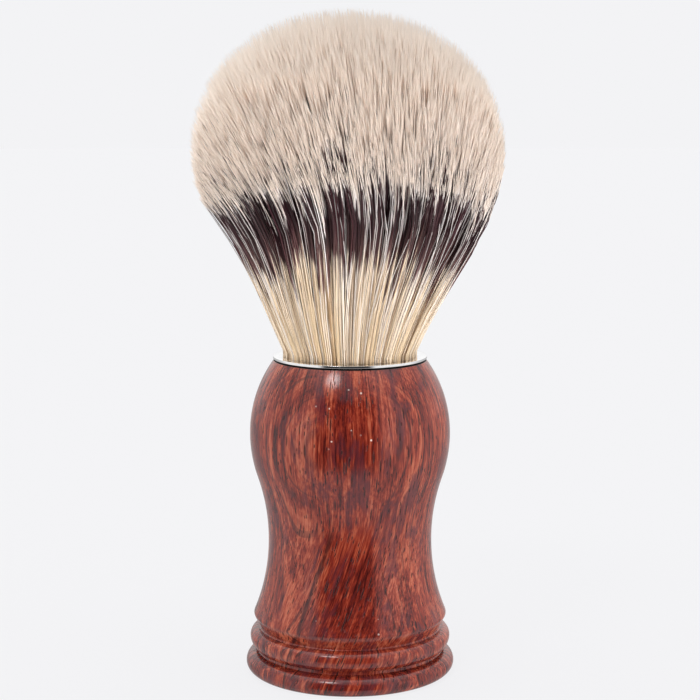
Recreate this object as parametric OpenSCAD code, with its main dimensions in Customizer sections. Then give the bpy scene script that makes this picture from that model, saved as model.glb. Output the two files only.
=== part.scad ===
// Shaving brush: a turned wooden handle with a knot of fibres set in a blind socket in its top.
// Millimetres, +Z up. The origin is the centre of the flat foot.
// Every piece is a solid of revolution about Z, so outlines are given as [radius, height].

/* [Handle] */
// Height of the wooden handle
handle_h = 52.6; // [50:0.1:56]
// Diameter of the lower bead, the widest part of the handle
base_d = 35; // [34.6:0.1:37]
// Diameter of the middle bead
bead_d = 33.6; // [33.2:0.1:34.4]
// Diameter at the edge of the skirt, above the beads
skirt_d = 32.3; // [32:0.1:33]
// Height of the skirt's edge
skirt_z = 9.7; // [9.4:0.1:11]
// Diameter of the waist
waist_d = 27.3; // [26:0.1:29]
// Height of the waist
waist_z = 22.4; // [20:0.1:24]
// Diameter of the bulb
bulb_d = 33.3; // [32:0.1:35]
// Height of the widest part of the bulb
bulb_z = 40.3; // [39:0.1:43]
// Diameter of the handle at its top rim
neck_d = 25.3; // [25:0.1:26]

/* [Socket] */
// Diameter of the socket that the knot is set in
socket_d = 22.6; // [22.4:0.1:22.8]
// Depth of the socket below the top rim
socket_depth = 20; // [16:0.5:22]

/* [Trim ring] */
// Outer diameter of the ring's flange
ring_d = 25.5; // [25.3:0.1:26.5]
// Thickness of the flange
flange_t = 0.7; // [0.6:0.05:1]
// Outer diameter of the ring's sleeve
sleeve_d = 23.2; // [23:0.1:23.6]
// Length of the sleeve below the flange
sleeve_h = 6; // [4:0.5:8]

/* [Knot] */
// Diameter of the knot where it leaves the ring
knot_d = 22; // [21:0.1:22]
// Diameter of the bloom at its widest
bloom_d = 48.9; // [46:0.1:50]
// Height of the widest part of the bloom
bloom_z = 86.5; // [86:0.1:89]
// Height of the top of the bloom, the height of the whole brush
brush_h = 108.4; // [104:0.1:114]
// Slope of the flaring fibres from the vertical, in degrees
flare_angle = 30; // [28:0.5:31]
// Number of thread turns round the roots
thread_turns = 5; // [3:1:8]

/* [Hidden] */
$fn = 96;

base_r = base_d / 2;
bead_r = bead_d / 2;
skirt_r = skirt_d / 2;
waist_r = waist_d / 2;
bulb_r = bulb_d / 2;
neck_r = neck_d / 2;
socket_r = socket_d / 2;
ring_r = ring_d / 2;
sleeve_r = sleeve_d / 2;
knot_r = knot_d / 2;
bloom_r = bloom_d / 2;

foot_round = 1.5;         // radius of the lower bead below its widest line
foot_turn = 75;           // turn of that arc up from the flat foot, in degrees
shoulder_round = 1.8;     // upper quarter of the lower bead
groove_d = 0.3;           // depth of the groove between the beads, inside the shoulder
groove_h = 0.76;          // height of that groove
fillet = 0.25;            // cutter's radius in the bottom of both grooves
bead_under = 2.35;        // radius of the middle bead below its widest line
bead_turn = 50;           // turn of that arc, in degrees
bead_over = 1.4;          // upper quarter of the middle bead
bead_shelf = 0.1;         // width of the flat between that quarter and the fillet above it
skirt_round = 0.75;       // rounding of the skirt's edge
base_z = foot_round * sin(foot_turn);
shelf_z = base_z + shoulder_round;
groove_r = base_r - shoulder_round - groove_d;
bead_z = shelf_z + groove_h + bead_under * sin(bead_turn);

drill_tip = 1.2;          // height of the centre point in the bottom of the socket
adhesive_t = 1.2;         // thickness of the adhesive under the plug
plug_d = 21.5;            // diameter of the cast plug
plug_r = plug_d / 2;
plug_drop = 1.8;          // top of the plug, below the rim of the handle
fibre_gap = 0.05;         // between the fibres and the ring, all round
bore_r = max(knot_r, plug_r + 0.1);  // inside of the ring
sleeve_z = handle_h - sleeve_h;
socket_z = handle_h - socket_depth;
plug_z = socket_z + adhesive_t;
root_z = handle_h - plug_drop;
flange_z = handle_h + flange_t;

thread_d = 0.5;           // diameter of the binding thread
thread_gap = 0.02;        // between neighbouring turns, and between the thread and the plug
thread_pitch = thread_d + thread_gap;
thread_z = plug_z + 6;    // height of the lowest edge of the winding
thread_recess = thread_d + 2 * thread_gap;

flare_blend = 9;          // radius of the bend where the fibres leave the ring
root_r = knot_r - fibre_gap;

// Points of an arc about c from angle a0 to a1, with both ends
function arc(c, r, a0, a1, n) =
    [for (i = [0:n]) let (a = a0 + (a1 - a0) * i / n) c + r * [cos(a), sin(a)]];

// Sum of the radii of two touching arcs that make an S between two upright tangents
function s_curve(across, along) = (pow(across, 2) + pow(along, 2)) / (2 * across);

// Angle of the line from point a to point b
function bearing(a, b) = atan2(b[1] - a[1], b[0] - a[0]);

cove_radius = s_curve(skirt_r - waist_r, waist_z - skirt_z) - skirt_round;
cove_c = [waist_r + cove_radius, waist_z];

// The flat foot, and the lower bead's two arcs that meet at its widest line
function lower_bead() = concat(
    [[0, 0]],
    arc([base_r - foot_round, base_z], foot_round, -foot_turn, 0, 8),
    arc([base_r - shoulder_round, base_z], shoulder_round, 9, 90, 9));

// The groove between the beads: a filleted floor under the overhang of the middle bead
function groove() = concat(
    arc([groove_r + fillet, shelf_z + fillet], fillet, 270, 180, 4),
    [[groove_r, shelf_z + groove_h]]);

function middle_bead() = concat(
    arc([bead_r - bead_under, bead_z], bead_under, -bead_turn, 0, 6),
    arc([bead_r - bead_over, bead_z], bead_over, 9, 90, 9));

// The taper from the upper groove out to the skirt's edge touches the groove's fillet and the
// rounding of the edge, which lie on opposite sides of it
function skirt_edge() =
    let (inner = [bead_r - bead_over - bead_shelf, bead_z + bead_over + fillet],
         outer = [skirt_r - skirt_round, skirt_z],
         line = bearing(inner, outer) - asin((fillet + skirt_round) / norm(outer - inner)))
    concat(arc(inner, fillet, 270, line + 90, 6),
           arc(outer, skirt_round, line - 90, bearing(outer, cove_c), 6));

// The waist is one cove, from the skirt's edge up to where it turns into the bulb, and the bulb
// has a larger arc below its widest line and a smaller one above it, which ends at the rim
function waist_and_bulb() =
    let (skirt = 360 + bearing(cove_c, [skirt_r - skirt_round, skirt_z]),
         under = s_curve(bulb_r - waist_r, bulb_z - waist_z) - cove_radius,
         turn = bearing([bulb_r - under, bulb_z], cove_c),
         over = s_curve(bulb_r - neck_r, handle_h - bulb_z))
    concat(arc(cove_c, cove_radius, skirt - 1, 180 + turn, 22),
           arc([bulb_r - under, bulb_z], under, turn + 2, 0, 10),
           arc([bulb_r - over, bulb_z], over, 3, asin((handle_h - bulb_z) / over), 16));

// The wall of the socket, from the rim down: the ring's counterbore, the bore and the drill's point
function socket() = [
    [sleeve_r, handle_h], [sleeve_r, sleeve_z], [socket_r, sleeve_z],
    [socket_r, socket_z], [drill_tip * 2, socket_z], [0, socket_z - drill_tip]];

module handle()
    color("#8c4230")
    rotate_extrude()
    polygon(concat(lower_bead(), groove(), middle_bead(), skirt_edge(), waist_and_bulb(), socket()));

// A flange with a half-round rim on a thin sleeve that is pressed into the counterbore
module trim_ring()
    color("#d8dadd")
    rotate_extrude()
    polygon(concat(
        [[bore_r, sleeve_z], [sleeve_r, sleeve_z], [sleeve_r, handle_h]],
        arc([ring_r - flange_t / 2, handle_h + flange_t / 2], flange_t / 2, -90, 90, 8),
        [[bore_r, flange_z]]));

// The bundle's outer shape: straight roots, a bend into a straight flare, a rounded shoulder
// and a dome that is half an ellipse
module fibre_bundle() {
    bend_end = [root_r + flare_blend * (1 - cos(flare_angle)), flange_z + flare_blend * sin(flare_angle)];
    shoulder_r = ((bloom_z - bend_end[1]) * sin(flare_angle) - (bloom_r - bend_end[0]) * cos(flare_angle))
                 / (1 - cos(flare_angle));
    color("#ddcdb8")
    rotate_extrude()
    polygon(concat(
        [[0, root_z], [root_r, root_z]],
        arc([root_r + flare_blend, flange_z], flare_blend, 180, 180 - flare_angle, 6),
        arc([bloom_r - shoulder_r, bloom_z], shoulder_r, -flare_angle, 0, 10),
        [for (a = [6:6:90]) [bloom_r * cos(a), bloom_z + (brush_h - bloom_z) * sin(a)]]));
}

// The cast plug with the recess that holds the binding
module root_plug() {
    winding_h = thread_turns * thread_pitch + thread_gap;
    color("#c9a35c")
    difference() {
        translate([0, 0, plug_z]) cylinder(r = plug_r, h = root_z - plug_z);
        translate([0, 0, thread_z - thread_gap])
        difference() {
            cylinder(r = plug_r + 1, h = winding_h);
            translate([0, 0, -1]) cylinder(r = plug_r - thread_recess, h = winding_h + 2);
        }
    }
}

// Turns of thread side by side, each a closed ring
module root_binding()
    color("#efe9da")
    for (turn = [0:thread_turns - 1])
        translate([0, 0, thread_z + thread_d / 2 + turn * thread_pitch])
        rotate_extrude()
        translate([plug_r - thread_gap - thread_d / 2, 0])
        circle(d = thread_d, $fn = 24);

// The bed of adhesive: a floor over the drill's point, and a wall between plug, bore and sleeve
module setting_adhesive()
    color("#e3cf9a")
    rotate_extrude()
    polygon([
        [0, socket_z - drill_tip], [drill_tip * 2, socket_z], [socket_r, socket_z],
        [socket_r, sleeve_z], [bore_r, sleeve_z], [bore_r, root_z],
        [plug_r, root_z], [plug_r, plug_z], [0, plug_z]]);

handle();
trim_ring();
fibre_bundle();
root_plug();
root_binding();
setting_adhesive();
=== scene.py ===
"""Shaving brush: the looks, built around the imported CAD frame.

Lengths in this file are millimetres unless a name says otherwise; meshes are scaled to metres
when they are made. The brush stands on its foot at the origin, +Z up, seen from -Y.
"""
import math

import bpy
import numpy as np
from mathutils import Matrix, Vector


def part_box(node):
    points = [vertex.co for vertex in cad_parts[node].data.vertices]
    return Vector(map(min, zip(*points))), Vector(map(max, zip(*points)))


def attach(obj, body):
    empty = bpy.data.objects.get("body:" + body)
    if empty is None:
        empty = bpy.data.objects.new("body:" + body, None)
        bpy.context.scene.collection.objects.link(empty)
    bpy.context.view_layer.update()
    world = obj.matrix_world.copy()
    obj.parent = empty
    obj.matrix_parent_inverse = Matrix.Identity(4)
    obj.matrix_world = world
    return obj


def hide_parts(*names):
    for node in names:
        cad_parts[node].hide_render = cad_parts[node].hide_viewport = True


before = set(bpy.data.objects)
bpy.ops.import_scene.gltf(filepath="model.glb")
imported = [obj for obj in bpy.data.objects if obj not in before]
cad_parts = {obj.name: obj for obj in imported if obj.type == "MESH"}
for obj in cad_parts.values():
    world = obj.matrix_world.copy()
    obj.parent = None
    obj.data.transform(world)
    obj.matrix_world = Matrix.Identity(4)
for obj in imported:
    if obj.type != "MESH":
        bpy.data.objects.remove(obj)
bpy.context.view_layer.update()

MM = 0.001
UV = "OFBake"

# ---------------------------------------------------------------- sizes taken from the CAD frame
HANDLE_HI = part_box("handle")[1] / MM
RING_LO, RING_HI = (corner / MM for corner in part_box("trim_ring"))
KNOT_LO, KNOT_HI = (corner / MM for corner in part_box("fibre_bundle"))
BASE_R = HANDLE_HI.x
RIM_Z = HANDLE_HI.z
RING_R = RING_HI.x
RING_TOP = RING_HI.z
BLOOM_R = KNOT_HI.x
TIP_Z = KNOT_HI.z
ROOT_Z = KNOT_LO.z

# ---------------------------------------------------------------- outline of the turned handle
BEAD_R, SKIRT_R, WAIST_R, BULB_R, NECK_R = 16.8, 16.15, 13.65, 16.65, 12.65
SKIRT_Z, WAIST_Z, BULB_Z = 9.7, 22.4, 40.3
FOOT_ROUND, FOOT_TURN = 1.5, 75
SHOULDER_ROUND, GROOVE_DEPTH, GROOVE_HEIGHT, FILLET = 1.8, 0.3, 0.76, 0.25
BEAD_UNDER, BEAD_TURN, BEAD_OVER, BEAD_SHELF = 2.35, 50, 1.4, 0.1
SKIRT_ROUND = 0.75
SOCKET_R, SOCKET_DEPTH, DRILL_TIP = 11.3, 20.0, 1.2
SLEEVE_R, SLEEVE_Z, BORE_R = 11.6, RING_LO.z, 11.0
RING_GAP = 0.28          # height of the shadow gap under the ring's flange
FOOT_BANDS = 8           # bands of faces across the flat foot
SOCKET_FLOOR_POINTS = 3  # points of the outline from the socket's wall to its middle
HANDLE_TURNS, RING_TURNS = 224, 256
UV_UNIT = 1 / 112        # size of a millimetre of the handle in UV space
ON_AXIS = 1e-6           # a smaller radius is a point on the axis

# ---------------------------------------------------------------- shape of the knot
KNOT_R = 10.9            # radius of the disc of roots
BEND_Z = 54.0            # where the fibres begin to flare
START_LEAN = 23.5        # lean of the outermost fibres there, in degrees
BEND_ON = 0.45           # how much further they bend past the line to their tips
BLOOM_Z = 86.0           # centre of the dome of tips
DOME_TURN = 107.0        # how far round the dome the outermost tips lie, in degrees
FRONT_TURN = 13.0        # how much less that is at the front and back
BAND_LOW, BAND_HIGH = 66.4, 78.2
RISE_LOW, RISE_HIGH = 4.9, 3.9       # how much higher the dark band lies at front and back
LOCKS = 900              # locks that the fibres gather into
KNOT_BELLY, KNOT_LEAN = 0.95, -0.45  # the knot bows to the right and its top leans to the left
COLUMNS = 64             # kinds of fibre, side by side in the UV square
PALE_COLUMNS = 5         # the kinds with no dark band
FIBRE_LENGTH = 52.0      # rough free length of a fibre, from the bend to its tip
PULL = (0.25, 0.75)      # how far fibres are drawn to the middle of their lock
NOD, SLIP, STRAY_SLIP = 0.013, 0.010, 0.09   # sway of locks, fibres and strays, in the unit disc
WAVE, STRAY_WAVE = 0.18, 0.35        # half width of the slow wave along a fibre
SHARED_KIND = 0.35       # how many of a lock's fibres are of one kind
SPIKES = ((110, 5.2), (250, 3.6))    # spikes of the dark band all round, and their length
INNER_RISE, MOST_RISE = 9.0, 2.6     # rise of the band's top towards the axis, and its limit
PROUD, PROUD_SIDE = 1.05, 0.75       # how far tips pass the CAD bloom: at the top, and more beside
CURVE_LOW, CURVE_TIP = 0.351, 0.363  # handles of a fibre's curve, as shares of its chord
ROOT_RISE = 0.1          # start of the fibres above the foot of the bundle
LEAST_PALE, LEAST_DARK = 2.5, 2.0    # shortest pale tip and dark band on any fibre
# where the rings of a long and a short tube lie: at these heights, and at these shares of the
# dark band and of the pale tip
RINGS = {
    "long": ((ROOT_Z + ROOT_RISE, 54.2, 57.0, 61.0), (0.0, 0.5, 1.0), (0.34, 0.68, 0.86, 1.0)),
    "short": ((ROOT_Z + ROOT_RISE, 57.0), (0.0, 1.0), (0.5, 0.85, 1.0)),
}
# thickness along a fibre, from its root to its tip
BULK_AT = (0, 0.12, 0.45, 0.75, 0.92, 1.0)
BULK = (0.60, 0.82, 1.0, 0.97, 0.78, 0.26)
SIDES = 3                # sides of a fibre's tube
# pieces: name, count of fibres, inner and outer edge in the disc of roots, rings and half width
KNOT_PIECES = (
    *((f"knot_core_{k + 1}", 5400, 0.0, 0.62, "short", 0.114) for k in range(2)),
    *((f"knot_fibres_{k + 1}", 3000, 0.58, 1.0, "long", 0.096) for k in range(5)),
    ("knot_strays", 220, 0.965, 1.0, "long", 0.070),
)
LOCK_SEED, NOD_SEED, LOW_SEED, HIGH_SEED, KIND_SEED, SPIKE_SEED = 11, 5, 6, 7, 8, 21
PIECE_SEED = 100         # the first of the seeds for the pieces of the knot

# ---------------------------------------------------------------- grain of the wood
LEAN, LEAN_TOP = 0.35, 27.0          # slope of the wood's fibres, and the height it stops at
# the pale band at the lower front and the dark line beside it: where they start, are all
# there, begin to fade and end, across the fibres
PALE_BAND = (-6.6, -5.2, -3.1, -2.7)
SEAM = (-3.1, -2.8, -2.6, -2.0)
# broad darker and paler patches at the front: across, height, half sizes, and change of tone
PATCHES = (
    (1.0, 15.0, 6.0, 11.0, -0.21),
    (1.0, 41.0, 8.0, 11.0, -0.10),
    (8.5, 23.5, 5.5, 9.0, 0.15),
    (-9.5, 40.0, 5.5, 8.0, 0.08),
)
# long and short pores: width, length, and how many of the cells hold none
PORES = ((0.45, 4.2, 0.50), (0.36, 1.4, 0.72))
# painted glints, pale specks painted into the varnish's colour as highlights over small bumps:
# height, and how far from it they fade out and are all there
PAINTED_GLINTS = ((45.5, 5.5, 3.5), (12.0, 3.5, 1.5))

# ---------------------------------------------------------------- stage and light
# the camera's focal length, its distance from the aim, its lift in degrees, and the aim's height
CAMERA_LENS, CAMERA_DISTANCE, CAMERA_LIFT, CAMERA_AIM = 96.5, 310.95, 8.09, 54.12
PALE = (0.896, 0.896, 0.913)         # tone of the floor and the backdrop
FLOOR_MATT = 0.08        # how much of the floor's tone is light that falls on it
FLOOR_LIGHT = 1.15       # the light that falls on an open floor
STAGE_REACH = 2.6        # radius of the stage, in metres
# the fill lamps' size, distance, and the height they aim at, in metres
FILL_SIZE, FILL_AWAY, FILL_AIM = 0.45, 0.8, 0.055
# edges of the dark gap in front, and the key lamp's place and half width, in degrees
GAP_LEFT, GAP_RIGHT, GAP_TOP, GAP_BOTTOM = -43.0, 34.0, 35.0, -30.0
KEY_TURN, KEY_LIFT, KEY_HALF, KEY_LEVEL = -30.5, 52.0, 9.5, 11.0


# ================================================================ shader helpers
def node(tree, kind, inputs=None, **settings):
    made = tree.nodes.new(kind)
    for key, value in settings.items():
        setattr(made, key, value)
    for key, value in (inputs or {}).items():
        feed(tree, made.inputs[key], value)
    return made


def feed(tree, socket, value):
    """Links value to the socket if it is a socket, otherwise sets it."""
    if isinstance(value, bpy.types.NodeSocket):
        tree.links.new(value, socket)
    elif socket.type == "RGBA" and len(value) == 3:
        socket.default_value = (*value, 1)
    else:
        socket.default_value = value


def calc(tree, operation, *values, clamp=False):
    made = node(tree, "ShaderNodeMath", dict(enumerate(values)), operation=operation)
    made.use_clamp = clamp
    return made.outputs[0]


def product(tree, first, *others):
    for value in others:
        first = calc(tree, "MULTIPLY", first, value)
    return first


def add_share(tree, base, value, share, clamp=False):
    """base plus a share of value."""
    return calc(tree, "MULTIPLY_ADD", value, share, base, clamp=clamp)


def centred(tree, value):
    """A value from 0 to 1, moved to lie about 0."""
    return calc(tree, "SUBTRACT", value, 0.5)


def size_of(tree, a, b):
    """Length of the vector (a, b)."""
    return calc(tree, "SQRT", calc(tree, "ADD", product(tree, a, a), product(tree, b, b)))


def step(tree, value, low, high, to_low=0.0, to_high=1.0, kind="SMOOTHSTEP"):
    made = node(tree, "ShaderNodeMapRange", interpolation_type=kind)
    for key, v in zip(("Value", "From Min", "From Max", "To Min", "To Max"),
                      (value, low, high, to_low, to_high)):
        feed(tree, made.inputs[key], v)
    return made.outputs["Result"]


def window(tree, value, start, full, still, end):
    """1 where value lies between full and still, fading to 0 at start and at end."""
    return product(tree, step(tree, value, start, full), step(tree, value, end, still))


def blend(tree, factor, a, b, how="MIX"):
    made = node(tree, "ShaderNodeMix", data_type="RGBA", blend_type=how)
    feed(tree, made.inputs["Factor"], factor)
    feed(tree, made.inputs["A"], a)
    feed(tree, made.inputs["B"], b)
    return made.outputs["Result"]


def ramp(tree, factor, stops):
    made = node(tree, "ShaderNodeValToRGB", {"Fac": factor})
    elements = made.color_ramp.elements
    while len(elements) < len(stops):
        elements.new(0.5)
    for element, (place, colour) in zip(elements, stops):
        element.position = place
        element.color = (*colour, 1)
    return made.outputs["Color"]


def noise(tree, vector, detail=2.0, roughness=0.5, distortion=0.0, output="Fac"):
    made = node(tree, "ShaderNodeTexNoise", {
        "Vector": vector, "Scale": 1.0, "Detail": detail, "Roughness": roughness,
        "Distortion": distortion})
    return made.outputs[output]


def noise_1d(tree, value, detail=2.0, roughness=0.5):
    made = node(tree, "ShaderNodeTexNoise", noise_dimensions="1D")
    for key, v in (("W", value), ("Scale", 1.0), ("Detail", detail), ("Roughness", roughness)):
        feed(tree, made.inputs[key], v)
    return made.outputs["Fac"]


def triple(tree, x, y, z):
    return node(tree, "ShaderNodeCombineXYZ", {"X": x, "Y": y, "Z": z}).outputs[0]


def parts(tree, vector):
    return node(tree, "ShaderNodeSeparateXYZ", {"Vector": vector}).outputs


def stretch(tree, vector, x, y, z):
    """The vector with each part divided by its own length, in millimetres."""
    made = node(tree, "ShaderNodeVectorMath", {0: vector, 1: (1 / x, 1 / y, 1 / z)},
                operation="MULTIPLY")
    return made.outputs[0]


def cells(tree, vector):
    """Scattered cells: the distance from each one's centre, and its own random colour."""
    made = node(tree, "ShaderNodeTexVoronoi", {"Vector": vector, "Scale": 1.0, "Randomness": 1.0})
    return made.outputs["Distance"], made.outputs["Color"]


def object_mm(tree):
    """Object coordinates in millimetres."""
    place = node(tree, "ShaderNodeTexCoord").outputs["Object"]
    made = node(tree, "ShaderNodeVectorMath", {0: place, 1: (1 / MM,) * 3}, operation="MULTIPLY")
    return made.outputs[0]


def bump(tree, height, distance_mm):
    made = node(tree, "ShaderNodeBump", {
        "Strength": 1.0, "Distance": distance_mm * MM, "Height": height})
    return made.outputs["Normal"]


def new_material(name):
    material = bpy.data.materials.new(name)
    material.use_nodes = True
    tree = material.node_tree
    return material, tree, tree.nodes["Principled BSDF"]


# ================================================================ materials
def wood_grain(tree, x, y, z):
    """The place across the fibres, and two sets of coordinates along them. The fibres lean to
    the right in the lower half, most of all at the front. The second set also follows the
    outline, as streaks do on wood that bulges and narrows with its grain."""
    fall = calc(tree, "SMOOTH_MIN", calc(tree, "SUBTRACT", z, LEAN_TOP), 0.0, 5.0)
    near = step(tree, calc(tree, "ABSOLUTE", x), 15.5, 10.0)
    lean = product(tree, fall, LEAN, near)
    across = calc(tree, "SUBTRACT", x, lean)
    even = calc(tree, "DIVIDE", 15.0, calc(tree, "MAXIMUM", size_of(tree, x, y), 4.0))
    grain = triple(tree, calc(tree, "SUBTRACT", product(tree, x, even), lean),
                   product(tree, y, even), z)
    return across, triple(tree, across, y, z), grain


def wood_layers(tree, here, x, y, across, wander):
    """Growth layers lie across Y and wander: their soft bands, about 0, and their late lines.
    They lie flat to the skin at the front and back, so they hardly show there."""
    off_y = product(tree, centred(tree, wander), 8.0)
    layer = calc(tree, "ADD", calc(tree, "ADD", y, off_y), product(tree, across, 0.1))
    flank = step(tree, calc(tree, "ABSOLUTE", x), 4.0, 9.0, 0.25, 1.0)
    bands = noise_1d(tree, product(tree, layer, 0.85), 4.0, 0.62)
    late = step(tree, noise_1d(tree, product(tree, layer, 2.3), 1.5), 0.58, 0.68)
    broken = step(tree, noise(tree, stretch(tree, here, 3.5, 3.5, 16), 2.0), 0.34, 0.50)
    return product(tree, centred(tree, bands), flank), product(tree, late, broken, flank)


def pale_band(tree, here, across, y, z, wander):
    """A pale band along the lean at the lower front, and the dark line on its right."""
    front = product(tree, step(tree, y, 0.0, -4.0), step(tree, z, 30.0, 24.0))
    wavy = calc(tree, "ADD", across, product(tree, centred(tree, wander), 1.6))
    worn = step(tree, noise(tree, stretch(tree, here, 2, 2, 3), 2.0), 0.32, 0.55)
    return (product(tree, window(tree, wavy, *PALE_BAND), front),
            product(tree, window(tree, wavy, *SEAM), front, worn))


def shaped_tone(tree, tone, x, y, z):
    """The tone with the foot, the taper, the middle bead and the front patches set apart; the
    taper's lighter tone is painted light from the floor below.
    """
    tone = add_share(tree, tone, step(tree, z, 3.6, 2.4), -0.08)
    # painted light: the taper under the skirt's edge is lightened, as if lit from the pale floor
    tone = add_share(tree, tone, window(tree, z, 7.3, 7.7, 8.9, 9.6), 0.20)
    tone = add_share(tree, tone, window(tree, z, 3.6, 4.2, 7.0, 7.6), 0.07)
    for at_x, at_z, wide, tall, deeper in PATCHES:
        dx = calc(tree, "DIVIDE", calc(tree, "SUBTRACT", x, at_x), wide)
        dz = calc(tree, "DIVIDE", calc(tree, "SUBTRACT", z, at_z), tall)
        patch = product(tree, step(tree, size_of(tree, dx, dz), 1.0, 0.3),
                        step(tree, y, 0.0, -4.0))
        tone = add_share(tree, tone, patch, deeper)
    return tone


def open_pores(tree, grain):
    """Long dark dashes along the fibres, and smaller ones between them."""
    pores = []
    for wide, long, rare in PORES:
        distance, chance = cells(tree, stretch(tree, grain, wide, wide, long))
        chosen = step(tree, parts(tree, chance)[0], rare, rare + 0.04)
        pores.append(product(tree, step(tree, distance, 0.32, 0.18), chosen))
    return calc(tree, "MAXIMUM", *pores)


def painted_glints(tree, here, x, y, z):
    """Painted highlights: a few pale glints painted into the varnish's colour, with small bumps
    under them, high on the bulb and low on the skirt.
    """
    distance, chance = cells(tree, stretch(tree, here, 0.9, 0.9, 0.9))
    above, below = (step(tree, calc(tree, "ABSOLUTE", calc(tree, "SUBTRACT", z, at)), far, near)
                    for at, far, near in PAINTED_GLINTS)
    return product(
        tree, step(tree, distance, 0.24, 0.12), step(tree, parts(tree, chance)[1], 0.84, 0.88),
        calc(tree, "MAXIMUM", above, below), window(tree, x, -7.0, -4.0, 3.0, 6.0),
        step(tree, y, 0.0, -4.0))


def wood_material():
    """One piece of red-brown figured wood under clear varnish."""
    material, tree, shader = new_material("varnished_wood")
    here = object_mm(tree)
    x, y, z = parts(tree, here)
    across, fibre, grain = wood_grain(tree, x, y, z)
    wander = noise(tree, stretch(tree, fibre, 15, 15, 38), 1.0, 0.4, 0.0, "Color")
    wx, wy, wz = parts(tree, wander)
    bands, late = wood_layers(tree, here, x, y, across, wy)
    band, seam = pale_band(tree, here, across, y, z, wz)

    # long streaks, fine streaks, flecks, thin veins and cloudy figure
    streak = noise(tree, stretch(tree, grain, 0.9, 0.9, 15), 4.0, 0.70)
    fine = noise(tree, stretch(tree, grain, 0.20, 0.20, 4.8), 2.0, 0.6)
    fleck = noise(tree, stretch(tree, fibre, 0.26, 0.26, 2.6), 2.0, 0.6)
    vein = step(tree, noise(tree, stretch(tree, grain, 0.45, 0.45, 9), 2.0, 0.6), 0.61, 0.70)
    off_x = product(tree, centred(tree, wx), 5.0)
    bent = triple(tree, calc(tree, "ADD", across, off_x), y, z)
    cloud = noise(tree, stretch(tree, bent, 3.0, 4.4, 11), 5.0, 0.68, 0.5)
    figure = step(tree, cloud, 0.49, 0.62)
    glow = step(tree, noise(tree, stretch(tree, bent, 2.4, 3.6, 17), 3.0, 0.55), 0.52, 0.68)

    tone = calc(tree, "MULTIPLY_ADD", bands, 1.30, 0.54)
    for value, share in ((streak, 1.80), (fine, 1.15), (fleck, 0.95)):
        tone = add_share(tree, tone, centred(tree, value), share)
    tone = shaped_tone(tree, tone, x, y, z)
    tone = add_share(tree, tone, glow, 0.14)
    tone = add_share(tree, tone, band, 0.16)
    tone = add_share(tree, tone, figure, -0.16, clamp=True)

    colour = ramp(tree, tone, [
        (0.08, (0.034, 0.004, 0.004)), (0.30, (0.100, 0.010, 0.006)),
        (0.52, (0.185, 0.020, 0.011)), (0.74, (0.285, 0.048, 0.022)),
        (0.98, (0.390, 0.096, 0.050))])
    pore = open_pores(tree, grain)
    painted_glint = painted_glints(tree, here, x, y, z)
    # the last entry paints pale glints into the colour as highlights
    for value, share, towards in (
            (figure, 0.60, (0.088, 0.018, 0.024)), (late, 0.60, (0.036, 0.008, 0.009)),
            (vein, 0.55, (0.040, 0.008, 0.010)), (seam, 0.80, (0.024, 0.006, 0.007)),
            (pore, 0.85, (0.014, 0.003, 0.003)), (painted_glint, 0.80, (0.82, 0.66, 0.58))):
        colour = blend(tree, product(tree, value, share), colour, towards)
    # painted shade: the rim is darkened to near black under the ring, as the shadow in the gap there
    rim = step(tree, z, RIM_Z - 0.08, RIM_Z - 0.02)
    colour = blend(tree, rim, colour, (0.006, 0.002, 0.002))

    skin = noise(tree, stretch(tree, here, 1.6, 1.6, 1.6), 1.0)
    height = calc(tree, "MULTIPLY_ADD", pore, -1.0, product(tree, skin, 0.10))
    height = add_share(tree, height, fine, 0.10)
    height = add_share(tree, height, painted_glint, 0.8)
    tree.links.new(colour, shader.inputs["Base Color"])
    tree.links.new(calc(tree, "MULTIPLY_ADD", pore, 0.10, 0.13), shader.inputs["Roughness"])
    tree.links.new(bump(tree, height, 0.055), shader.inputs["Normal"])
    shader.inputs["IOR"].default_value = 1.5
    return material


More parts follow.
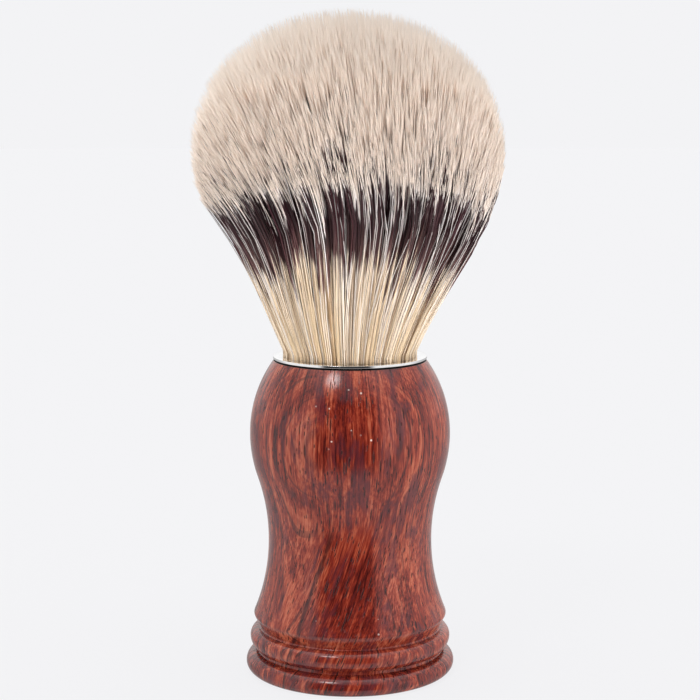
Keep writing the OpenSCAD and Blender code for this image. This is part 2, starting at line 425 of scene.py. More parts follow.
def fibre_material():
    """Bristle with a dark band. V runs from root to tip, U picks the kind of fibre."""
    material, tree, shader = new_material("knot_fibre")
    u, v, _ = parts(tree, node(tree, "ShaderNodeUVMap", uv_map=UV).outputs[0])
    kind = calc(tree, "FLOOR", product(tree, u, float(COLUMNS)))

    def chance(seed):
        made = node(tree, "ShaderNodeTexWhiteNoise", noise_dimensions="1D")
        feed(tree, made.inputs["W"], calc(tree, "ADD", kind, seed))
        return made.outputs["Value"]

    straw = ramp(tree, v, [
        (0.00, (0.80, 0.58, 0.34)), (0.14, (0.88, 0.67, 0.42)), (0.36, (0.90, 0.71, 0.50)),
        (0.60, (0.90, 0.82, 0.79)), (0.72, (0.89, 0.76, 0.68)), (1.00, (0.93, 0.80, 0.69))])
    cream = ramp(tree, v, [
        (0.00, (0.94, 0.82, 0.69)), (0.20, (0.97, 0.88, 0.79)), (0.40, (0.97, 0.89, 0.84)),
        (0.62, (0.97, 0.92, 0.90)), (0.80, (0.96, 0.86, 0.79)), (1.00, (0.96, 0.84, 0.74))])
    colour = blend(tree, chance(11.3), straw, cream)
    # a few kinds have tan roots
    tan = product(tree, step(tree, chance(27.9), 0.86, 0.90), step(tree, v, 0.42, 0.34))
    colour = blend(tree, product(tree, tan, 0.75), colour, (0.30, 0.165, 0.075))

    # the dark band, with soft ends, on all but the pale kinds
    reach = product(tree, calc(tree, "POWER", chance(91.2), 3.0), 0.30)
    drop = product(tree, calc(tree, "POWER", chance(77.4), 5.0), 0.14)
    above = calc(tree, "SUBTRACT", v, reach)
    below = calc(tree, "ADD", v, drop)
    banded = calc(tree, "GREATER_THAN", kind, PALE_COLUMNS - 0.5)
    depth = calc(tree, "MULTIPLY_ADD", chance(43.1), 0.05, 0.95)
    band = product(tree, step(tree, below, 0.385, 0.425), step(tree, above, 0.64, 0.575),
                   banded, depth)
    dark = blend(tree, chance(61.7), (0.018, 0.004, 0.007), (0.060, 0.014, 0.022))
    # the lower end of the band fades through a pinkish brown
    dusk = product(tree, step(tree, v, 0.54, 0.41), chance(71.9), 0.8)
    dark = blend(tree, dusk, dark, (0.24, 0.115, 0.11))
    colour = blend(tree, band, colour, dark)

    # the pale kinds are duller where they cross the band
    cross = product(tree, window(tree, v, 0.36, 0.44, 0.58, 0.66), chance(33.8),
                    calc(tree, "SUBTRACT", 1.0, banded), 0.85)
    colour = blend(tree, cross, colour, (0.42, 0.37, 0.38))

    # fine mottling along each fibre, and whole kinds that are dimmer below the tips
    mottle = noise(tree, triple(tree, product(tree, kind, 7.31), product(tree, v, 26.0), 0.0), 2.0)
    shade = step(tree, mottle, 0.25, 0.75, 0.90, 1.06, "LINEAR")
    dim = calc(tree, "SUBTRACT", 1.0, step(tree, chance(5.7), 0.0, 0.5, 0.74, 1.0))
    dim = product(tree, dim, step(tree, v, 0.74, 0.96, 1.0, 0.2))
    shade = product(tree, shade, calc(tree, "SUBTRACT", 1.0, dim))
    colour = blend(tree, 1.0, colour, triple(tree, shade, shade, shade), "MULTIPLY")
    tree.links.new(colour, shader.inputs["Base Color"])
    shader.inputs["Roughness"].default_value = 0.50
    shader.inputs["Specular IOR Level"].default_value = 0.14
    return material


def metal_material():
    """Polished plated metal with faint turning lines and fine scratches, and painted shade in the
    gap under the flange.
    """
    material, tree, shader = new_material("polished_metal")
    here = object_mm(tree)
    x, y, z = parts(tree, here)
    lines = noise(tree, triple(tree, product(tree, size_of(tree, x, y), 16.0),
                               product(tree, z, 16.0), 0.0), 3.0)
    worn = noise(tree, stretch(tree, here, 1.5, 1.5, 0.5), 4.0, 0.6)
    colour = ramp(tree, worn, [(0.30, (0.90, 0.90, 0.91)), (0.70, (0.97, 0.97, 0.97))])
    # painted shade: the gap under the flange is coloured black, as the shadow in it
    gap = window(tree, z, RIM_Z - 0.2, RIM_Z - 0.1, RIM_Z + RING_GAP, RIM_Z + RING_GAP + 0.02)
    colour = blend(tree, gap, colour, (0.012, 0.010, 0.010))
    tree.links.new(colour, shader.inputs["Base Color"])
    rough = calc(tree, "MULTIPLY_ADD", worn, 0.06, 0.03)
    rough = add_share(tree, add_share(tree, rough, gap, 0.60), lines, 0.05)
    tree.links.new(rough, shader.inputs["Roughness"])
    tree.links.new(bump(tree, lines, 0.002), shader.inputs["Normal"])
    shader.inputs["Metallic"].default_value = 1.0
    return material


def resin_material():
    """The cast plug: amber resin with cloudy flow and trapped specks."""
    material, tree, shader = new_material("cast_resin")
    here = object_mm(tree)
    flow = noise(tree, stretch(tree, here, 4, 4, 2), 4.0, 0.6, 1.2)
    speck = noise(tree, stretch(tree, here, 0.3, 0.3, 0.3), 2.0)
    colour = ramp(tree, flow, [
        (0.25, (0.42, 0.22, 0.06)), (0.55, (0.60, 0.37, 0.13)), (0.80, (0.72, 0.50, 0.22))])
    colour = blend(tree, step(tree, speck, 0.66, 0.74, 0.0, 0.5), colour, (0.85, 0.74, 0.52))
    tree.links.new(colour, shader.inputs["Base Color"])
    tree.links.new(calc(tree, "MULTIPLY_ADD", flow, 0.2, 0.12), shader.inputs["Roughness"])
    tree.links.new(bump(tree, flow, 0.05), shader.inputs["Normal"])
    return material


def thread_material():
    """Twisted cotton thread."""
    material, tree, shader = new_material("binding_thread")
    here = object_mm(tree)
    x, y, z = parts(tree, here)
    turn = calc(tree, "ARCTAN2", y, x)
    twist = calc(tree, "ADD", product(tree, turn, 60.0), product(tree, z, 9.0))
    ply = calc(tree, "SINE", twist)
    lint = noise(tree, stretch(tree, here, 0.08, 0.08, 0.08), 3.0)
    colour = ramp(tree, step(tree, ply, -1.0, 1.0), [
        (0.0, (0.52, 0.46, 0.36)), (0.5, (0.76, 0.71, 0.60)), (1.0, (0.84, 0.80, 0.71))])
    colour = blend(tree, step(tree, lint, 0.45, 0.75, 0.0, 0.35), colour, (0.62, 0.56, 0.45))
    tree.links.new(colour, shader.inputs["Base Color"])
    tree.links.new(bump(tree, calc(tree, "ADD", ply, lint), 0.03), shader.inputs["Normal"])
    shader.inputs["Roughness"].default_value = 0.8
    return material


def adhesive_material():
    """Set epoxy, honey coloured, with small bubbles."""
    material, tree, shader = new_material("epoxy")
    here = object_mm(tree)
    bubble = step(tree, cells(tree, stretch(tree, here, 0.9, 0.9, 0.9))[0], 0.24, 0.16)
    haze = noise(tree, stretch(tree, here, 3, 3, 3), 3.0)
    colour = ramp(tree, haze, [(0.3, (0.55, 0.42, 0.20)), (0.7, (0.72, 0.60, 0.34))])
    colour = blend(tree, product(tree, bubble, 0.5), colour, (0.86, 0.80, 0.62))
    tree.links.new(colour, shader.inputs["Base Color"])
    tree.links.new(calc(tree, "MULTIPLY_ADD", haze, 0.15, 0.1), shader.inputs["Roughness"])
    tree.links.new(bump(tree, bubble, 0.04), shader.inputs["Normal"])
    return material


# ================================================================ turned pieces
def arc(centre, radius, start, end, count):
    angles = np.radians(np.linspace(start, end, count + 1))
    return np.column_stack([centre[0] + radius * np.cos(angles),
                            centre[1] + radius * np.sin(angles)])


def s_curve(across, along):
    """Sum of the radii of two touching arcs that make an S between two upright tangents."""
    return (across ** 2 + along ** 2) / (2 * across)


def bearing(a, b):
    return math.degrees(math.atan2(b[1] - a[1], b[0] - a[0]))


def between(a, b, count):
    """Points from a towards b, without b."""
    f = np.arange(count)[:, None] / count
    return np.array(a) * (1 - f) + np.array(b) * f


def handle_outside():
    """The outline from the middle of the foot to the rim."""
    base_z = FOOT_ROUND * math.sin(math.radians(FOOT_TURN))
    shelf_z = base_z + SHOULDER_ROUND
    groove_r = BASE_R - SHOULDER_ROUND - GROOVE_DEPTH
    bead_z = shelf_z + GROOVE_HEIGHT + BEAD_UNDER * math.sin(math.radians(BEAD_TURN))
    inner = (BEAD_R - BEAD_OVER - BEAD_SHELF, bead_z + BEAD_OVER + FILLET)
    outer = (SKIRT_R - SKIRT_ROUND, SKIRT_Z)
    line = bearing(inner, outer) - math.degrees(math.asin(
        (FILLET + SKIRT_ROUND) / math.dist(inner, outer)))
    cove = s_curve(SKIRT_R - WAIST_R, WAIST_Z - SKIRT_Z) - SKIRT_ROUND
    cove_c = (WAIST_R + cove, WAIST_Z)
    skirt = 360 + bearing(cove_c, outer)
    under = s_curve(BULB_R - WAIST_R, BULB_Z - WAIST_Z) - cove
    turn = bearing((BULB_R - under, BULB_Z), cove_c)
    over = s_curve(BULB_R - NECK_R, RIM_Z - BULB_Z)
    over_end = math.degrees(math.asin((RIM_Z - BULB_Z) / over))
    foot = arc((BASE_R - FOOT_ROUND, base_z), FOOT_ROUND, -FOOT_TURN, 0, 18)
    return np.concatenate([
        between((0, 0), foot[0], FOOT_BANDS),
        foot,
        arc((BASE_R - SHOULDER_ROUND, base_z), SHOULDER_ROUND, 4, 90, 20),
        arc((groove_r + FILLET, shelf_z + FILLET), FILLET, 270, 180, 6),
        [(groove_r, shelf_z + GROOVE_HEIGHT)],
        arc((BEAD_R - BEAD_UNDER, bead_z), BEAD_UNDER, -BEAD_TURN, 0, 16),
        arc((BEAD_R - BEAD_OVER, bead_z), BEAD_OVER, 5, 90, 18),
        arc(inner, FILLET, 270, line + 90, 8),
        arc(outer, SKIRT_ROUND, line - 90, bearing(outer, cove_c), 14),
        arc(cove_c, cove, skirt - 1, 180 + turn, 60),
        arc((BULB_R - under, BULB_Z), under, turn + 1, 0, 28),
        arc((BULB_R - over, BULB_Z), over, 1, over_end, 40),
    ])


def socket_inside():
    """The outline from the ring's counterbore down to the drill's point."""
    floor_z = RIM_Z - SOCKET_DEPTH
    return np.array([
        (SLEEVE_R, RIM_Z), (SLEEVE_R, SLEEVE_Z), (SOCKET_R, SLEEVE_Z),
        (SOCKET_R, floor_z), (DRILL_TIP * 2, floor_z), (0, floor_z - DRILL_TIP)])


def ring_outline():
    """The ring's section: a thin sleeve, then a flange with an upright edge that overhangs a
    narrow shadow gap above the wood, and an eased inner lip."""
    lip, neck, ease = 0.12, 0.32, 0.06
    low = RIM_Z + RING_GAP
    return np.concatenate([
        [(BORE_R, SLEEVE_Z), (SLEEVE_R, SLEEVE_Z), (SLEEVE_R, RIM_Z)],
        [(RING_R - neck, RIM_Z), (RING_R - neck, low)],
        arc((RING_R - ease, low + ease), ease, -90, 0, 5),
        arc((RING_R - ease, RING_TOP - ease), ease, 0, 90, 5),
        arc((BORE_R + lip, RING_TOP - lip), lip, 90, 180, 6),
    ])


def turned(name, outline, turns, place_uv, closed=False, sharp=34):
    """A surface of revolution about Z. place_uv(band, point, share) gives each corner's UV."""
    count = len(outline)
    angles = np.arange(turns) / turns * 2 * math.pi
    points, first = [], []
    for radius, height in outline:
        first.append(len(points))
        if radius < ON_AXIS:
            points.append((0, 0, height * MM))
        else:
            points += [(radius * MM * math.cos(a), radius * MM * math.sin(a), height * MM)
                       for a in angles]
    faces, corners = [], []
    for band in range(count if closed else count - 1):
        low, high = band, (band + 1) % count
        on_axis = [outline[k][0] < ON_AXIS for k in (low, high)]
        for j in range(turns):
            loop = [(low, j), (low, j + 1), (high, j + 1), (high, j)]
            if on_axis[0]:
                loop = [(low, j), (high, j + 1), (high, j)]
            elif on_axis[1]:
                loop = loop[:3]
            faces.append([first[k] + (0 if outline[k][0] < ON_AXIS else i % turns)
                          for k, i in loop])
            corners += [place_uv(band, k, i / turns) for k, i in loop]
    mesh = bpy.data.meshes.new(name)
    mesh.from_pydata(points, [], faces)
    layer = mesh.uv_layers.new(name=UV)
    layer.data.foreach_set("uv", np.array(corners, float).ravel())
    mesh.polygons.foreach_set("use_smooth", [True] * len(faces))
    mesh.set_sharp_from_angle(angle=math.radians(sharp))
    made = bpy.data.objects.new(name, mesh)
    bpy.context.scene.collection.objects.link(made)
    return made


def run_lengths(outline):
    steps = np.hypot(*np.diff(outline, axis=0).T)
    return np.concatenate([[0], np.cumsum(steps)])


def make_handle():
    """The wood, turned from one outline, with the foot, sides and socket apart in UV space."""
    outside = handle_outside()
    outline = np.concatenate([outside, socket_inside()])
    along = run_lengths(outline)
    rim_band = len(outside) - 1

    def place(band, k, share):
        radius = outline[k][0] * UV_UNIT
        turn = 2 * math.pi * share
        if band < FOOT_BANDS:
            return 0.165 + radius * math.cos(turn), 0.165 + radius * math.sin(turn)
        if band < rim_band:
            return 0.01 + share * 0.97, 0.34 + (along[k] - along[FOOT_BANDS]) * UV_UNIT
        if band < len(outline) - SOCKET_FLOOR_POINTS:
            return 0.34 + share * 0.64, 0.01 + (along[k] - along[rim_band]) * UV_UNIT * 0.8
        return 0.90 + radius * 0.4 * math.cos(turn), 0.27 + radius * 0.4 * math.sin(turn)

    made = turned("wooden_handle", outline, HANDLE_TURNS, place)
    made.data.materials.append(wood_material())
    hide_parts("handle")
    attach(made, "root")
    return made


def make_ring():
    outline = ring_outline()
    along = run_lengths(np.concatenate([outline, outline[:1]]))

    def place(band, k, share):
        at = along[band + 1] if k == (band + 1) % len(outline) else along[band]
        return 0.01 + share * 0.98, 0.05 + at / along[-1] * 0.9

    made = turned("collar_ring", outline, RING_TURNS, place, closed=True)
    made.data.materials.append(metal_material())
    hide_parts("trim_ring")
    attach(made, "root")
    return made


# ================================================================ the knot
def fan(disc, t):
    """Where fibres pass at share t (0 to 1) of their free length, from their places in the
    unit disc of roots. disc is N x M x 2, t is M long; the result is N x M x 3."""
    length = np.hypot(disc[..., 0], disc[..., 1])
    spread = np.clip(length, 1e-6, 1.0)
    way = disc / length.clip(1e-6)[..., None]
    facing = way[..., 1] ** 2
    reach = np.cos(np.radians(DOME_TURN - FRONT_TURN * facing))
    end = np.arccos(1 - spread ** 2 * (1 - reach))
    proud = PROUD + PROUD_SIDE * np.sin(2 * end)
    tip_r = (BLOOM_R + proud) * np.sin(end)
    tip_z = BLOOM_Z + (TIP_Z + proud - BLOOM_Z) * np.cos(end)
    low_r = spread * (KNOT_R + 0.1)
    chord = np.hypot(tip_r - low_r, tip_z - BEND_Z)
    start = np.radians(START_LEAN) * spread
    line = np.arctan2(tip_r - low_r, tip_z - BEND_Z)
    finish = line + BEND_ON * (line - start)
    r1 = low_r + CURVE_LOW * chord * np.sin(start)
    z1 = BEND_Z + CURVE_LOW * chord * np.cos(start)
    r2 = tip_r - CURVE_TIP * chord * np.sin(finish)
    z2 = tip_z - CURVE_TIP * chord * np.cos(finish)
    a, b, c, d = (1 - t) ** 3, 3 * t * (1 - t) ** 2, 3 * t * t * (1 - t), t ** 3
    radius = a * low_r + b * r1 + c * r2 + d * tip_r
    height = a * BEND_Z + b * z1 + c * z2 + d * tip_z
    return np.concatenate([way * radius[..., None], height[..., None]], axis=-1)


def locks(rng, count):
    """Centres of the locks that the fibres gather into, in the unit disc of roots."""
    radius = np.sqrt(rng.uniform(0, 1, count))
    angle = rng.uniform(0, 2 * math.pi, count)
    return np.column_stack([radius * np.cos(angle), radius * np.sin(angle)])


def spikes(angle, radius):
    """How far the top of the dark band rises or falls: the pale part points down in spikes and
    the dark part points up between them, in sectors that are shared by all fibres."""
    rng = np.random.default_rng(SPIKE_SEED)
    total = np.zeros_like(angle)
    for sectors, length in SPIKES:
        edges = np.sort(rng.uniform(0, 2 * math.pi, sectors))
        edges = np.concatenate([[edges[-1] - 2 * math.pi], edges, [edges[0] + 2 * math.pi]])
        which = np.searchsorted(edges, angle, side="right") - 1
        wide = (edges[which + 1] - edges[which]).clip(1e-4)
        middle = np.abs((angle - edges[which]) / wide - 0.5) * 2
        sharp = np.clip(wide * sectors / (2 * math.pi), 0.35, 1.3)
        total += length * sharp * (middle - 0.5) + rng.normal(0, 0.3 * length, sectors + 1)[which]
    return total * np.clip(radius * 1.4, 0, 1)


def by_lock(lock, seed, deviation, shape=LOCKS):
    """One random value for each lock, the same in every piece of the knot."""
    return np.random.default_rng(seed).normal(0, deviation, shape)[lock]


def fibre_paths(rng, t, disc, radius, lock, lock_at, stray):
    """How fibres wander across the unit disc of roots on their way up: they gather into locks,
    most of all at two thirds of their length, and the locks sway."""
    count = len(disc)
    gather = np.sin(math.pi * t ** 1.9) ** 2
    gather = np.where(t > 0.69, 0.10 + 0.90 * gather, gather)
    # the fibres nearer the middle gather less, so the top of the dome is smooth
    outward = np.interp(radius, [0.40, 0.85], [0.35, 1.0])[:, None]
    pull = rng.uniform(*PULL, count)[:, None] * gather * outward
    if stray:
        pull = pull * 0
    nod = by_lock(lock, NOD_SEED, NOD, lock_at.shape)
    path = disc[:, None] + pull[..., None] * (lock_at[lock] - disc)[:, None]
    path = path + (nod * outward)[:, None] * (t ** 2)[None, :, None]
    slip = rng.normal(0, STRAY_SLIP if stray else SLIP, (count, 2))
    path = path + slip[:, None] * t[None, :, None]
    length = np.hypot(path[..., 0], path[..., 1])[..., None]
    return np.where(length > 1, path / length, path)


def band_and_kind(rng, radius, angle, lock, stray):
    """Where each fibre's dark band starts and ends, and the fibre's kind. Fibres that stand
    further in have a higher band, so dark shows deep between the pale tips."""
    count = len(radius)
    facing = np.sin(angle) ** 2
    inside = np.minimum(INNER_RISE * (1 - radius), MOST_RISE)
    low = BAND_LOW + RISE_LOW * facing - 0.5 * (1 - radius)
    high = BAND_HIGH + RISE_HIGH * facing + inside - 0.5
    low += rng.normal(0, 1.0, count) + by_lock(lock, LOW_SEED, 0.8)
    high += rng.normal(0, 1.3, count) + by_lock(lock, HIGH_SEED, 1.3)
    high += spikes(angle, radius)
    high = np.maximum(high, low + 3)
    own = rng.integers(0, COLUMNS, count)
    shared = np.random.default_rng(KIND_SEED).integers(PALE_COLUMNS, COLUMNS, LOCKS)[lock]
    kind = np.where(rng.random(count) < SHARED_KIND, shared, own)
    if stray:
        kind = rng.integers(0, PALE_COLUMNS, count)
    return low, high, kind


def fibre_lines(rng, count, inner, outer, lock_at, stray=False):
    """Centre lines of fibres on a fine grid, with where each one's dark band starts and ends,
    and its kind."""
    radius = np.sqrt(rng.uniform(inner ** 2, outer ** 2, count))
    angle = rng.uniform(0, 2 * math.pi, count)
    disc = np.column_stack([radius * np.cos(angle), radius * np.sin(angle)])
    lock = ((disc[:, None] - lock_at[None]) ** 2).sum(-1).argmin(1)
    t = np.linspace(0, 1, 25)
    path = fibre_paths(rng, t, disc, radius, lock, lock_at, stray)
    # most tips lie close under the dome, and a few are shorter
    short = np.abs(rng.normal(0, 0.8, count))
    short += rng.exponential(0.9, count) * (rng.random(count) < 0.12)
    short = np.minimum(short, 4) - 0.6
    line = fan(path, t)
    line = fan_cut(line, t, 1 - (short / FIBRE_LENGTH)[:, None] * t[None])
    # a slow wave along each fibre, larger near the middle, where it closes the gaps
    wave = rng.uniform(0.5, 1.5, count)[:, None] * t * 2 * math.pi
    wave = wave + rng.uniform(0, 6.3, count)[:, None]
    size = rng.normal(0, STRAY_WAVE if stray else WAVE, (count, 2)) * (1.9 - 0.9 * radius)[:, None]
    line[..., :2] += size[:, None] * (np.sin(wave) * t ** 0.8)[..., None]
    line[..., 0] += KNOT_BELLY * np.sin(math.pi * t ** 2.2) + KNOT_LEAN * t ** 4
    root = np.concatenate([disc * KNOT_R, np.full((count, 1), ROOT_Z + ROOT_RISE)], axis=1)
    line = np.concatenate([root[:, None], line], axis=1)
    return line, *band_and_kind(rng, radius, angle, lock, stray)


def fan_cut(line, t, cut):
    """Shortens each line from its tip by sliding every point down its own path."""
    at = (t[None] * cut) * (len(t) - 1)
    low = np.clip(at.astype(int), 0, len(t) - 2)
    share = (at - low)[..., None]
    rows = np.arange(len(line))[:, None]
    return line[rows, low] * (1 - share) + line[rows, low + 1] * share


def at_heights(line, levels):
    """The points of each line at the given heights, which rise along it."""
    z = line[..., 2]
    above = (z[:, :, None] <= levels[:, None, :]).sum(1)
    high = np.clip(above, 1, line.shape[1] - 1)
    rows = np.arange(len(line))[:, None]
    z0, z1 = z[rows, high - 1], z[rows, high]
    share = np.clip((levels - z0) / (z1 - z0).clip(1e-6), 0, 1)[..., None]
    return line[rows, high - 1] * (1 - share) + line[rows, high] * share


def thread_out(rng, line, low, high, kind, rings, width):
    """Three-sided tapered tubes along the lines: points, triangles and UVs of one mesh. rings
    names a row of RINGS, and width is a tube's rough half width in its middle."""
    count = len(line)
    tip = line[:, -1, 2]
    high = np.minimum(high, tip - LEAST_PALE)
    low = np.minimum(low, high - LEAST_DARK)
    at_root, in_band, in_tip = RINGS[rings]
    levels = np.column_stack(
        [np.full(count, height) for height in at_root]
        + [low + share * (high - low) for share in in_band]
        + [high + share * (tip - high) for share in in_tip])
    spine = at_heights(line, levels)
    m = levels.shape[1]
    root = levels[:, :1]
    lo, hi, top = low[:, None], high[:, None], tip[:, None]
    v = np.where(levels <= lo, 0.4 * (levels - root) / (lo - root),
                 np.where(levels <= hi, 0.4 + 0.2 * (levels - lo) / (hi - lo),
                          0.6 + 0.4 * (levels - hi) / (top - hi)))
    v = 0.002 + 0.996 * np.clip(v, 0, 1)

    ahead = np.gradient(spine, axis=1)
    ahead /= np.linalg.norm(ahead, axis=2, keepdims=True).clip(1e-9)
    roll = rng.uniform(0, 2 * math.pi, count)
    side = np.stack([np.cos(roll), np.sin(roll), np.zeros(count)], axis=1)[:, None]
    one = np.cross(ahead, np.broadcast_to(side, ahead.shape))
    one /= np.linalg.norm(one, axis=2, keepdims=True).clip(1e-9)
    two = np.cross(ahead, one)
    free = (levels - root) / (top - root)
    bulk = np.interp(free, BULK_AT, BULK)
    thick = bulk * (width * rng.uniform(0.82, 1.2, count))[:, None]
    turn = np.arange(SIDES) * 2 * math.pi / SIDES
    rim = (spine[:, :, None]
           + thick[:, :, None, None] * (np.cos(turn)[:, None] * one[:, :, None]
                                        + np.sin(turn)[:, None] * two[:, :, None]))
    per = SIDES * (m - 1) + 1
    points = np.concatenate([rim[:, :-1].reshape(count, -1, 3), spine[:, -1:]], axis=1)

    # a cap at the root, bands of two triangles a side, and a point at the tip
    faces, ring_of, edge_of = [(0, 2, 1)], [(0, 0, 0)], [(0, 2, 1)]
    for k in range(m - 2):
        for j in range(SIDES):
            a, b = SIDES * k + j, SIDES * k + (j + 1) % SIDES
            faces += [(a, b, b + SIDES), (a, b + SIDES, a + SIDES)]
            ring_of += [(k, k, k + 1), (k, k + 1, k + 1)]
            edge_of += [(j, j + 1, j + 1), (j, j + 1, j)]
    for j in range(SIDES):
        faces.append((SIDES * (m - 2) + j, SIDES * (m - 2) + (j + 1) % SIDES, per - 1))
        ring_of.append((m - 2, m - 2, m - 1))
        edge_of.append((j, j + 1, j + 0.5))
    faces, ring_of, edge_of = np.array(faces), np.array(ring_of), np.array(edge_of)
    tris = faces[None] + (np.arange(count) * per)[:, None, None]
    u = (kind[:, None, None] + 0.12 + 0.76 * edge_of[None] / SIDES) / COLUMNS
    uv = np.stack([np.broadcast_to(u, (count, *edge_of.shape)), v[:, ring_of]], axis=-1)
    return points.reshape(-1, 3) * MM, tris.reshape(-1, 3), uv.reshape(-1, 2)


def fibre_object(name, points, tris, uv, material):
    mesh = bpy.data.meshes.new(name)
    mesh.vertices.add(len(points))
    mesh.vertices.foreach_set("co", points.astype(np.float32).ravel())
    mesh.loops.add(tris.size)
    mesh.loops.foreach_set("vertex_index", tris.astype(np.int32).ravel())
    mesh.polygons.add(len(tris))
    mesh.polygons.foreach_set("loop_start", np.arange(0, tris.size, 3, dtype=np.int32))
    mesh.polygons.foreach_set("use_smooth", np.ones(len(tris), bool))
    mesh.update(calc_edges=True)
    layer = mesh.uv_layers.new(name=UV)
    layer.data.foreach_set("uv", uv.astype(np.float32).ravel())
    mesh.validate()
    mesh.materials.append(material)
    made = bpy.data.objects.new(name, mesh)
    bpy.context.scene.collection.objects.link(made)
    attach(made, "root")
    return made


def make_knot():
    """All the fibres, in several pieces: the core, the outer layers and the strays on top."""
    material = fibre_material()
    lock_at = locks(np.random.default_rng(LOCK_SEED), LOCKS)
    made = []
    for number, (name, count, inner, outer, rings, width) in enumerate(KNOT_PIECES):
        rng = np.random.default_rng(PIECE_SEED + number)
        lines = fibre_lines(rng, count, inner, outer, lock_at, stray=name == "knot_strays")
        made.append(fibre_object(name, *thread_out(rng, *lines, rings, width), material))
    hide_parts("fibre_bundle")
    return made


def dress_inner_parts():
    """The pieces inside the socket keep their CAD shape and get their own finish."""
    for name, make in (("root_plug", resin_material), ("root_binding", thread_material),
                       ("setting_adhesive", adhesive_material)):
        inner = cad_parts[name]
        inner.data.materials.clear()
        inner.data.materials.append(make())


# ================================================================ stage
def make_camera():
    data = bpy.data.cameras.new("camera")
    data.lens, data.sensor_width, data.clip_start, data.clip_end = CAMERA_LENS, 36, 0.01, 20
    made = bpy.data.objects.new("camera", data)
    bpy.context.scene.collection.objects.link(made)
    lift = math.radians(CAMERA_LIFT)
    back = Vector((0, -math.cos(lift), math.sin(lift)))
    made.location = (Vector((0, 0, CAMERA_AIM)) + back * CAMERA_DISTANCE) * MM
    made.rotation_mode = "QUATERNION"
    made.rotation_quaternion = (-back).to_track_quat("-Z", "Y")
    bpy.context.scene.camera = made


def glow_material(name, emission, diffuse):
    """A matt surface that also glows."""
    material = bpy.data.materials.new(name)
    material.use_nodes = True
    tree = material.node_tree
    tree.nodes.clear()
    out = node(tree, "ShaderNodeOutputMaterial")
    light = node(tree, "ShaderNodeEmission", {"Color": emission, "Strength": 1.0})
    matt = node(tree, "ShaderNodeBsdfDiffuse", {"Color": diffuse})
    both = node(tree, "ShaderNodeAddShader", {0: light.outputs[0], 1: matt.outputs[0]})
    tree.links.new(both.outputs[0], out.inputs["Surface"])
    return material


def only_for_camera(made):
    """Seen by the camera, with no part in lighting or reflections."""
    made.visible_diffuse = False
    made.visible_glossy = False
    made.visible_transmission = False
    made.visible_shadow = False


def make_stage():
    """A round floor that meets a dome of the same pale tone."""
    reach, rows, turns = STAGE_REACH, 24, 96
    points = [(0, 0, 0)]
    for k in range(1, rows + 1):
        r = reach * (k / rows) ** 2
        points += [(r * math.cos(2 * math.pi * j / turns), r * math.sin(2 * math.pi * j / turns), 0)
                   for j in range(turns)]
    faces = [(0, 1 + j, 1 + (j + 1) % turns) for j in range(turns)]
    for k in range(rows - 1):
        a = 1 + k * turns
        faces += [(a + j, a + turns + j, a + turns + (j + 1) % turns, a + (j + 1) % turns)
                  for j in range(turns)]
    mesh = bpy.data.meshes.new("floor")
    mesh.from_pydata(points, [], faces)
    floor = bpy.data.objects.new("floor", mesh)
    mesh.materials.append(glow_material("floor", tuple(c - FLOOR_MATT for c in PALE),
                                        (FLOOR_MATT / FLOOR_LIGHT,) * 3))
    lifts = np.radians(np.arange(-2, 91, 4))
    dome = [(reach * math.cos(a) * math.cos(e), reach * math.cos(e) * math.sin(a),
             reach * math.sin(e)) for e in lifts for a in np.arange(turns) * 2 * math.pi / turns]
    shell = bpy.data.meshes.new("backdrop")
    shell.from_pydata(dome, [], [
        (k * turns + j, k * turns + (j + 1) % turns, (k + 1) * turns + (j + 1) % turns,
         (k + 1) * turns + j) for k in range(len(lifts) - 1) for j in range(turns)])
    backdrop = bpy.data.objects.new("backdrop", shell)
    shell.materials.append(glow_material("backdrop", PALE, (0, 0, 0)))
    for made in (floor, backdrop):
        bpy.context.scene.collection.objects.link(made)
        only_for_camera(made)


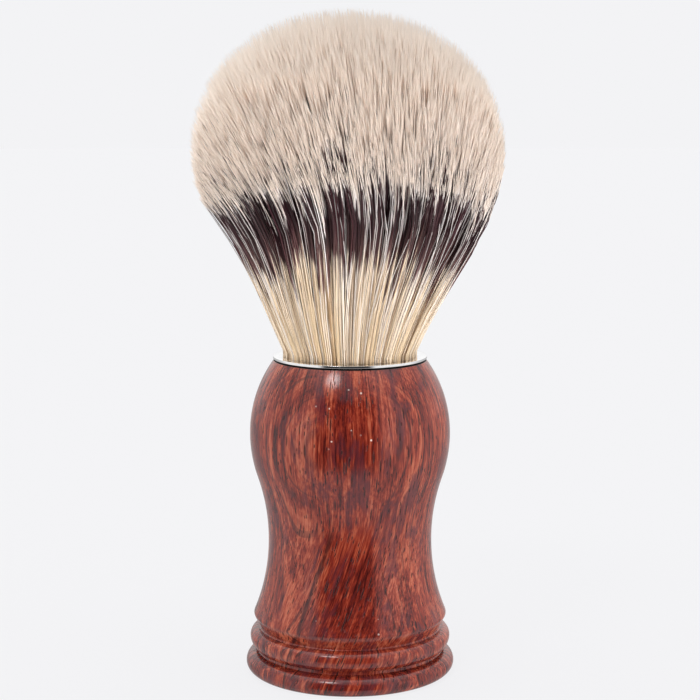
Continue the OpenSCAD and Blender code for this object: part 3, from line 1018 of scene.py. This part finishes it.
def make_light():
    """A studio seen from the brush: white all round, a dark gap in front and a soft key lamp."""
    world = bpy.data.worlds.new("studio")
    bpy.context.scene.world = world
    world.use_nodes = True
    tree = world.node_tree
    way = node(tree, "ShaderNodeTexCoord").outputs["Generated"]
    x, y, z = parts(tree, way)
    turn = product(tree, calc(tree, "ARCTAN2", x, product(tree, y, -1.0)), 180 / math.pi)
    lift = product(tree, calc(tree, "ARCSINE", z), 180 / math.pi)
    around = step(tree, lift, -15.0, 10.0, 0.88, 0.90)
    overhead = step(tree, lift, 30.0, 60.0, 0.0, 0.70)
    away = calc(tree, "ABSOLUTE", calc(tree, "ADD", turn, 2.0))
    # the dark gap in front, a dimmer part above it, a dim floor behind and a brighter back wall
    gap = product(tree, window(tree, turn, GAP_LEFT - 7, GAP_LEFT + 7, GAP_RIGHT - 7, GAP_RIGHT + 7),
                  window(tree, lift, GAP_BOTTOM - 10, GAP_BOTTOM + 10, GAP_TOP - 5, GAP_TOP + 5))
    brow = product(tree, step(tree, away, 42.0, 26.0), window(tree, lift, 20.0, 30.0, 58.0, 72.0))
    behind = product(tree, step(tree, away, 100.0, 135.0), step(tree, lift, 5.0, -5.0))
    back = product(tree, step(tree, away, 140.0, 155.0), window(tree, lift, 5.0, 10.0, 30.0, 38.0))
    level = product(
        tree, calc(tree, "ADD", around, overhead),
        *(step(tree, area, 0.0, 1.0, 1.0, left, "LINEAR")
          for area, left in ((gap, 0.05), (brow, 0.50), (behind, 0.60), (back, 1.12))))
    key_turn, key_lift = math.radians(KEY_TURN), math.radians(KEY_LIFT)
    key = (math.sin(key_turn) * math.cos(key_lift), -math.cos(key_turn) * math.cos(key_lift),
           math.sin(key_lift))
    dot = node(tree, "ShaderNodeVectorMath", {0: way, 1: key}, operation="DOT_PRODUCT")
    lamp = step(tree, dot.outputs["Value"], math.cos(math.radians(KEY_HALF)), 1.0, 0.0, KEY_LEVEL)
    level = calc(tree, "ADD", level, lamp)
    background = tree.nodes["Background"]
    background.inputs["Color"].default_value = (1, 1, 1, 1)
    tree.links.new(level, background.inputs["Strength"])
    bpy.context.scene.view_settings.view_transform = "Standard"
    bpy.context.scene.cycles.max_bounces = 16
    bpy.context.scene.cycles.diffuse_bounces = 12


def make_fill(name, turn, lift, power, pieces):
    """A broad panel that softens the shading of the pieces and doesn't show in reflections."""
    data = bpy.data.lights.new(name, "AREA")
    data.shape, data.size, data.energy = "DISK", FILL_SIZE, power
    made = bpy.data.objects.new(name, data)
    bpy.context.scene.collection.objects.link(made)
    a, e = math.radians(turn), math.radians(lift)
    back = Vector((math.sin(a) * math.cos(e), -math.cos(a) * math.cos(e), math.sin(e)))
    made.location = Vector((0, 0, FILL_AIM)) + back * FILL_AWAY
    made.rotation_mode = "QUATERNION"
    made.rotation_quaternion = (-back).to_track_quat("-Z", "Y")
    made.visible_glossy = False
    made.visible_camera = False
    lit = bpy.data.collections.new(name + "_on")
    for piece in pieces:
        lit.objects.link(piece)
    made.light_linking.receiver_collection = lit


# ================================================================ build
make_camera()
handle = make_handle()
ring = make_ring()
knot = make_knot()
dress_inner_parts()
make_stage()
make_light()
make_fill("fill_left", -58, 4, 3.6, [handle, ring, *knot])
make_fill("fill_right", 55, 4, 4.2, [handle, ring, *knot])
make_fill("root_fill", 4, -22, 2.1, knot)
make_fill("handle_fill", 62, 0, 1.0, [handle])
